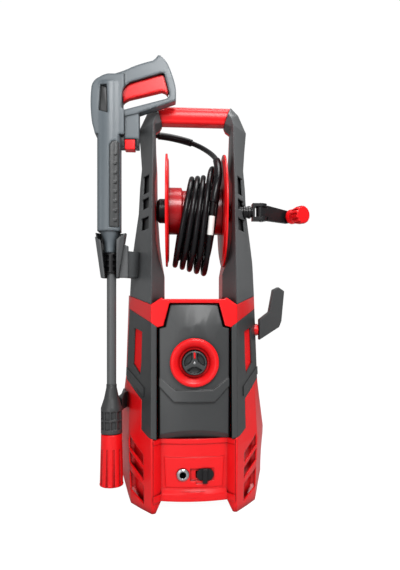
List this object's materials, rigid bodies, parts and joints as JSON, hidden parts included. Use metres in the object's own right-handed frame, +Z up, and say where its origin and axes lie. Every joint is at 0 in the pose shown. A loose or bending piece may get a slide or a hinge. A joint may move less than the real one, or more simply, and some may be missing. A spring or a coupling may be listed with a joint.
{
  "type": "electric pressure washer",
  "caption": "Upright electric pressure washer with hose reel, carrying grip, transport wheels and a spray gun with its lance hung at the side.",
  "frame": {"origin": "on the floor under the middle of the sole", "axes": "+X to the right seen from the front, +Y to the back, +Z up"},
  "size_m": [0.4576, 0.3575, 0.913],
  "materials": {
    "red_plastic": "satin",
    "dark_plastic": "fine grain",
    "grey_plastic": "fine grain",
    "black_plastic": "satin",
    "rubber_hose": "matt",
    "bright_steel": "polished",
    "axle_steel": "drawn",
    "pump_alloy": "cast",
    "motor_iron": "laminated",
    "copper_windings": "enamelled",
    "brass_pipe": "plain"
  },
  "bodies": {
    "frame": {"base_housing": "red_plastic", "rear_housing": "red_plastic", "top_deck": "red_plastic", "side_cover_left": "dark_plastic", "side_cover_right": "dark_plastic", "side_window_left": "red_plastic", "side_window_right": "red_plastic", "front_panel": "dark_plastic", "knob_ring": "red_plastic", "column_front_left": "grey_plastic", "column_front_right": "grey_plastic", "column_rear_left": "red_plastic", "column_rear_right": "red_plastic", "carry_grip": "red_plastic", "base_tray": "black_plastic", "outlet_fitting": "bright_steel", "reel_bushes": "black_plastic", "hose_lead": "rubber_hose", "hose_sleeve": "black_plastic", "gun_holder": "grey_plastic", "lance_rest": "dark_plastic", "hook_seat": "red_plastic", "wheel_axle": "axle_steel", "motor_casing": "black_plastic", "motor_windings": "copper_windings", "pump_head": "pump_alloy", "inlet_fitting": "brass_pipe", "cord_gland": "black_plastic", "power_switch": "black_plastic", "pressure_pipe": "brass_pipe", "housing_screws": "axle_steel"},
    "reel": {"reel_flange_left": "red_plastic", "reel_flange_right": "red_plastic", "reel_drum": "red_plastic", "hose_winding": "rubber_hose", "hose_core": "rubber_hose", "crank_hub": "black_plastic"},
    "crank_arm": {"crank_arm": "black_plastic", "crank_pins": "axle_steel"},
    "crank_knob": {"crank_knob": "red_plastic"},
    "power_knob": {"power_knob": "black_plastic"},
    "outlet_latch": {"outlet_latch": "black_plastic"},
    "gun": {"gun_body": "grey_plastic", "foregrip_insert": "black_plastic", "lance_tube": "grey_plastic", "lance_collar": "black_plastic", "nozzle_adapter": "black_plastic", "hose_plug": "black_plastic"},
    "trigger": {"trigger": "red_plastic"},
    "hose_release_button": {"hose_release_button": "red_plastic"},
    "nozzle_cap": {"nozzle_cap": "red_plastic"},
    "cord_hook": {"cord_hook": "grey_plastic"},
    "wheel_left": {"wheel_left": "black_plastic"},
    "wheel_right": {"wheel_right": "black_plastic"},
    "rotor": {"motor_rotor": "motor_iron", "cooling_fan": "black_plastic", "wobble_plate": "axle_steel"},
    "piston_1": {"pump_piston_1": "axle_steel"},
    "piston_2": {"pump_piston_2": "axle_steel"},
    "piston_3": {"pump_piston_3": "axle_steel"}
  },
  "joints": [
    {"name": "reel_spin", "type": "hinge", "parent": "frame", "child": "reel", "pos_m": [0, -0.06, 0.606], "axis": [1, 0, 0], "continuous": true, "deforming": ["hose_lead", "hose_sleeve"]},
    {"name": "crank_fold", "type": "hinge", "parent": "reel", "child": "crank_arm", "pos_m": [0.146, -0.06, 0.606], "axis": [0, 0, 1], "range_deg": [-30, 60]},
    {"name": "crank_knob_spin", "type": "hinge", "parent": "crank_arm", "child": "crank_knob", "pos_m": [0.20922, -0.0235, 0.6015], "axis": [0.5, -0.866, 0], "continuous": true},
    {"name": "power_knob_turn", "type": "hinge", "parent": "frame", "child": "power_knob", "pos_m": [0, -0.1496, 0.294], "axis": [0, -1, 0], "range_deg": [0, 90]},
    {"name": "outlet_latch_slide", "type": "slide", "parent": "frame", "child": "outlet_latch", "axis": [1, 0, 0], "range_m": [-0.011, 0]},
    {"name": "gun_lift", "type": "slide", "parent": "frame", "child": "gun", "axis": [0, 0, 1], "range_m": [0, 0.1], "deforming": ["hose_lead", "hose_sleeve"]},
    {"name": "trigger_pull", "type": "hinge", "parent": "gun", "child": "trigger", "pos_m": [-0.15, -0.095, 0.836], "axis": [0, -1, 0], "range_deg": [0, 5], "stiffness_Nm_per_rad": 0.6, "springref_deg": -22.92},
    {"name": "hose_release_press", "type": "slide", "parent": "gun", "child": "hose_release_button", "axis": [0, 1, 0], "range_m": [0, 0.003], "stiffness_N_per_m": 400, "springref_m": -0.002},
    {"name": "nozzle_turn", "type": "hinge", "parent": "gun", "child": "nozzle_cap", "pos_m": [-0.167, -0.095, 0.09], "axis": [0, 0, 1], "range_deg": [0, 90]},
    {"name": "cord_hook_turn", "type": "hinge", "parent": "frame", "child": "cord_hook", "pos_m": [0.1415, -0.012, 0.353], "axis": [1, 0, 0], "range_deg": [0, 180]},
    {"name": "wheel_left_spin", "type": "hinge", "parent": "frame", "child": "wheel_left", "pos_m": [-0.137, 0.086, 0.063], "axis": [1, 0, 0], "continuous": true},
    {"name": "wheel_right_spin", "type": "hinge", "parent": "frame", "child": "wheel_right", "pos_m": [0.137, 0.086, 0.063], "axis": [1, 0, 0], "continuous": true},
    {"name": "rotor_spin", "type": "hinge", "parent": "frame", "child": "rotor", "pos_m": [0, 0.02, 0.25], "axis": [0, 0, 1], "continuous": true},
    {"name": "piston_1_stroke", "type": "slide", "parent": "frame", "child": "piston_1", "axis": [0, 0, 1], "range_m": [-0.004, 0], "stiffness_N_per_m": 1500, "springref_m": 0.003},
    {"name": "piston_2_stroke", "type": "slide", "parent": "frame", "child": "piston_2", "axis": [0, 0, 1], "range_m": [-0.004, 0], "stiffness_N_per_m": 1500, "springref_m": 0.003},
    {"name": "piston_3_stroke", "type": "slide", "parent": "frame", "child": "piston_3", "axis": [0, 0, 1], "range_m": [-0.004, 0], "stiffness_N_per_m": 1500, "springref_m": 0.003}
  ]
}
